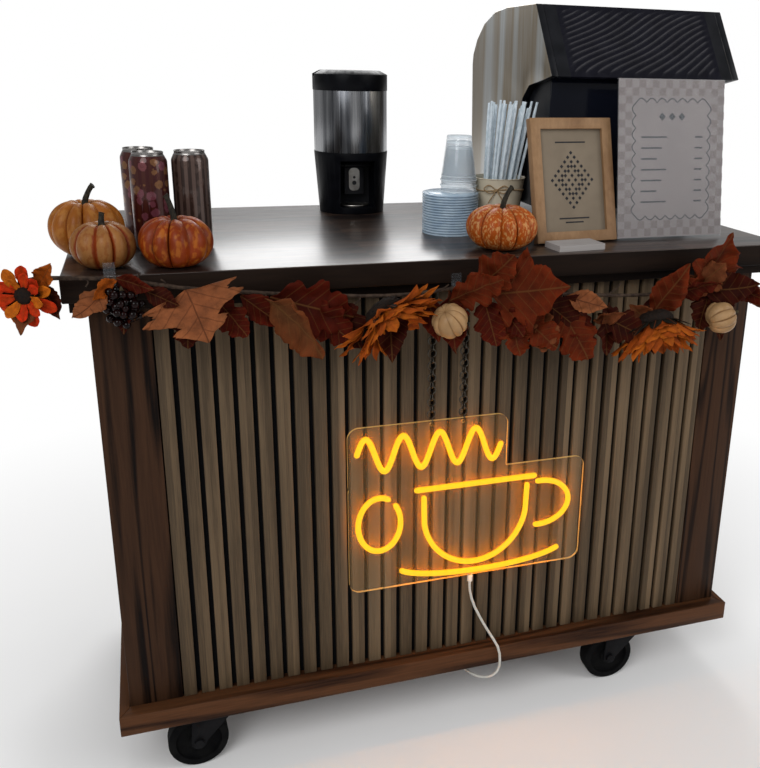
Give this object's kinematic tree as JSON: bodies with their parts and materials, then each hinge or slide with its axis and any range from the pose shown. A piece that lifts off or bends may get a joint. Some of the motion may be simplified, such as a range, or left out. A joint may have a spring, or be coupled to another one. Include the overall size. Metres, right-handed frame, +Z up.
{
  "type": "coffee cart",
  "caption": "Wheeled coffee cart with a slatted front, dark wooden counter, hung light sign, leaf garland, espresso machine, brewer and serving gear.",
  "frame": {"origin": "on the floor, under the middle of the counter", "axes": "+X to the customer's right, -Y towards the customer, +Z up"},
  "size_m": [1.3007, 0.7353, 1.333],
  "materials": {
    "dark_counter": "gloss varnish",
    "dark_edge": "satin stain",
    "stained_wood": "satin stain",
    "black_felt": "matte felt",
    "slat_oak": "matte oiled",
    "base_wood": "satin stain",
    "raw_timber": "planed",
    "caster_black": "black enamel",
    "bolt_zinc": "zinc",
    "hook_metal": "aged steel",
    "chain_metal": "aged steel",
    "sign_clear": "clear sheet",
    "sign_glow": "lit amber",
    "cord_white": "satin",
    "grommet_rubber": "matte",
    "strip_white": "satin",
    "hook_clear": "clear",
    "vine_twig": "bark",
    "leaf_cloth": "printed cloth",
    "petal_cloth": "printed cloth",
    "fruit_white": "matte",
    "pumpkin_rind": "waxy rind",
    "can_metal": "printed",
    "cup_clear": "clear",
    "lid_clear": "clear",
    "pail_cream": "cream enamel",
    "straw_clear": "clear",
    "frame_oak": "satin",
    "menu_clear": "clear sheet",
    "printed_paper": "matte print",
    "machine_dark": "black",
    "machine_steel": "brushed",
    "machine_panel": "gloss black",
    "machine_hood": "ridged charcoal",
    "foot_black": "matte",
    "boiler_metal": "bare",
    "tank_plastic": "translucent",
    "group_chrome": "polished",
    "portafilter_black": "satin",
    "tray_steel": "brushed",
    "knob_black": "satin",
    "brewer_black": "satin",
    "brewer_steel": "brushed",
    "brewer_lid": "satin",
    "lever_pale": "satin",
    "wheel_black": "matte rubber",
    "pedal_black": "satin"
  },
  "bodies": {
    "cart": {"countertop": "dark_counter", "sub_top": "dark_edge", "front_stiles": "stained_wood", "side_panels": "stained_wood", "slat_backing": "black_felt", "slats": "slat_oak", "base_deck": "base_wood", "base_moulding": "base_wood", "frame_timbers": "raw_timber", "shelf": "raw_timber", "caster_plates": "caster_black", "caster_bolts": "bolt_zinc", "sign_hooks": "hook_metal", "sign_cord": "cord_white", "cord_grommet": "grommet_rubber", "power_strip": "strip_white", "garland_hooks": "hook_clear", "garland_vine": "vine_twig", "garland_leaves": "leaf_cloth", "garland_flowers": "petal_cloth", "garland_fruits": "fruit_white", "counter_pumpkins": "pumpkin_rind", "drink_cans": "can_metal", "cup_stack": "cup_clear", "lid_stack": "lid_clear", "straw_pail": "pail_cream", "straws": "straw_clear", "payment_frame": "frame_oak", "menu_stand": "menu_clear", "printed_cards": "printed_paper", "machine_chassis": "machine_dark", "machine_side_panels": "machine_steel", "machine_back_panel": "machine_panel", "machine_hood": "machine_hood", "machine_feet": "foot_black", "machine_boiler": "boiler_metal", "machine_water_tank": "tank_plastic", "group_head": "group_chrome", "brewer_base": "brewer_black", "brewer_tank": "brewer_steel"},
    "caster_fl": {"caster_fork_fl": "caster_black"},
    "wheel_fl": {"caster_wheel_fl": "wheel_black"},
    "caster_fr": {"caster_fork_fr": "caster_black"},
    "wheel_fr": {"caster_wheel_fr": "wheel_black"},
    "caster_rl": {"caster_fork_rl": "caster_black"},
    "wheel_rl": {"caster_wheel_rl": "wheel_black"},
    "pedal_rl": {"brake_pedal_rl": "pedal_black"},
    "caster_rr": {"caster_fork_rr": "caster_black"},
    "wheel_rr": {"caster_wheel_rr": "wheel_black"},
    "pedal_rr": {"brake_pedal_rr": "pedal_black"},
    "sign": {"sign_backing": "sign_clear", "sign_tubes": "sign_glow", "sign_chains": "chain_metal"},
    "portafilter": {"portafilter": "portafilter_black"},
    "steam_knob": {"steam_knob": "knob_black"},
    "water_knob": {"water_knob": "knob_black"},
    "drip_tray": {"drip_tray": "tray_steel"},
    "steam_wand": {"steam_wand": "group_chrome"},
    "brewer_lid": {"brewer_lid": "brewer_lid"},
    "brewer_lever": {"brewer_lever": "lever_pale"}
  },
  "joints": [
    {"name": "swivel_fl", "type": "hinge", "parent": "cart", "child": "caster_fl", "pos_m": [-0.433, -0.222, 0.1], "axis": [0, 0, 1], "continuous": true},
    {"name": "roll_fl", "type": "hinge", "parent": "caster_fl", "child": "wheel_fl", "pos_m": [-0.47298, -0.2234, 0.053], "axis": [0.0349, -0.9994, 0], "continuous": true},
    {"name": "swivel_fr", "type": "hinge", "parent": "cart", "child": "caster_fr", "pos_m": [0.397, -0.222, 0.1], "axis": [0, 0, 1], "continuous": true},
    {"name": "roll_fr", "type": "hinge", "parent": "caster_fr", "child": "wheel_fr", "pos_m": [0.35702, -0.2206, 0.053], "axis": [-0.0349, -0.9994, 0], "continuous": true},
    {"name": "swivel_rl", "type": "hinge", "parent": "cart", "child": "caster_rl", "pos_m": [-0.433, 0.25, 0.1], "axis": [0, 0, 1], "continuous": true},
    {"name": "roll_rl", "type": "hinge", "parent": "caster_rl", "child": "wheel_rl", "pos_m": [-0.47164, 0.23965, 0.053], "axis": [0.2588, -0.9659, 0], "continuous": true},
    {"name": "brake_rl", "type": "hinge", "parent": "caster_rl", "child": "pedal_rl", "pos_m": [-0.50062, 0.23188, 0.108], "axis": [0.2588, -0.9659, 0], "range_deg": [0, 14]},
    {"name": "swivel_rr", "type": "hinge", "parent": "cart", "child": "caster_rr", "pos_m": [0.397, 0.25, 0.1], "axis": [0, 0, 1], "continuous": true},
    {"name": "roll_rr", "type": "hinge", "parent": "caster_rr", "child": "wheel_rr", "pos_m": [0.35761, 0.25695, 0.053], "axis": [-0.1736, -0.9848, 0], "continuous": true},
    {"name": "brake_rr", "type": "hinge", "parent": "caster_rr", "child": "pedal_rr", "pos_m": [0.32806, 0.26216, 0.108], "axis": [-0.1736, -0.9848, 0], "range_deg": [0, 14]},
    {"name": "sign_swing", "type": "hinge", "parent": "cart", "child": "sign", "pos_m": [-0.021, -0.2645, 0.844], "axis": [-1, 0, 0], "range_deg": [0, 15]},
    {"name": "portafilter_lock", "type": "hinge", "parent": "cart", "child": "portafilter", "pos_m": [0.396, 0.17575, 1.115], "axis": [0, 0, 1], "range_deg": [-45, 0]},
    {"name": "steam_valve", "type": "hinge", "parent": "cart", "child": "steam_knob", "pos_m": [0.276, 0.26661, 1.20807], "axis": [0, 1, 0], "range_deg": [0, 270]},
    {"name": "water_valve", "type": "hinge", "parent": "cart", "child": "water_knob", "pos_m": [0.516, 0.26661, 1.20807], "axis": [0, 1, 0], "range_deg": [0, 270]},
    {"name": "drip_tray_slide", "type": "slide", "parent": "cart", "child": "drip_tray", "axis": [0, 1, 0], "range_m": [0, 0.15]},
    {"name": "steam_wand_swing", "type": "hinge", "parent": "cart", "child": "steam_wand", "pos_m": [0.266, 0.2377, 1.17086], "axis": [1, 0, 0], "range_deg": [-15, 20]},
    {"name": "brewer_lid_hinge", "type": "hinge", "parent": "cart", "child": "brewer_lid", "pos_m": [-0.078, 0.306, 1.178], "axis": [-1, 0, 0], "range_deg": [0, 95]},
    {"name": "brewer_lever_press", "type": "hinge", "parent": "cart", "child": "brewer_lever", "pos_m": [-0.078, 0.199, 1.025], "axis": [1, 0, 0], "range_deg": [0, 10], "stiffness_Nm_per_rad": 0.3}
  ]
}
